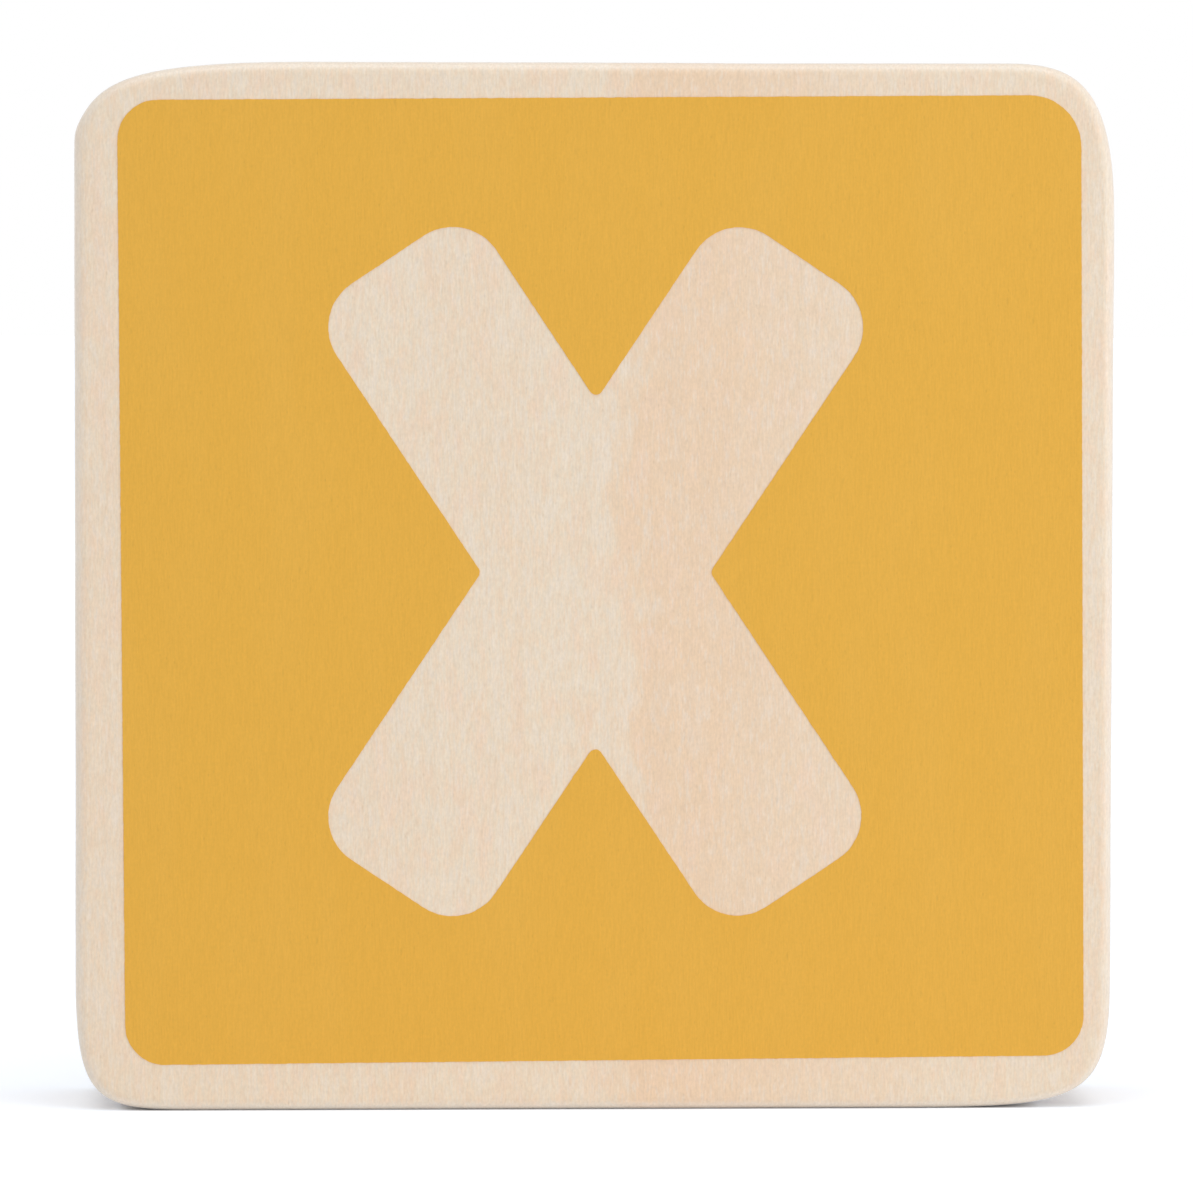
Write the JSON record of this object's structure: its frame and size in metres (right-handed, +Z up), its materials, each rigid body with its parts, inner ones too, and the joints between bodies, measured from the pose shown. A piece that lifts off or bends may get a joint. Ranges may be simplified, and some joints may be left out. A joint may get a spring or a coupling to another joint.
{
  "type": "letter tile",
  "caption": "Square plywood letter tile with eased corners and a printed colour panel on its front, standing on its lower edge.",
  "frame": {"origin": "on the lower edge that the tile stands on, at the middle of its width and of its depth", "axes": "+X to the right and +Z up as seen from the printed front, +Y from the front to the back"},
  "size_m": [0.06, 0.0122, 0.0605],
  "materials": {
    "printed_coat": "matte water-based printing colour, thin enough to show the veneer's grain",
    "face_veneer": "birch face veneer, sanded, bare",
    "long_veneer": "birch core veneer with upright grain, cut edge sanded",
    "cross_veneer": "birch core veneer with level grain, cut edge sanded"
  },
  "bodies": {
    "root": {"front_print": "printed_coat", "front_face_ply": "face_veneer", "cross_ply_1": "cross_veneer", "long_ply_1": "long_veneer", "cross_ply_2": "cross_veneer", "long_ply_2": "long_veneer", "cross_ply_3": "cross_veneer", "long_ply_3": "long_veneer", "cross_ply_4": "cross_veneer", "back_face_ply": "face_veneer"}
  },
  "joints": []
}
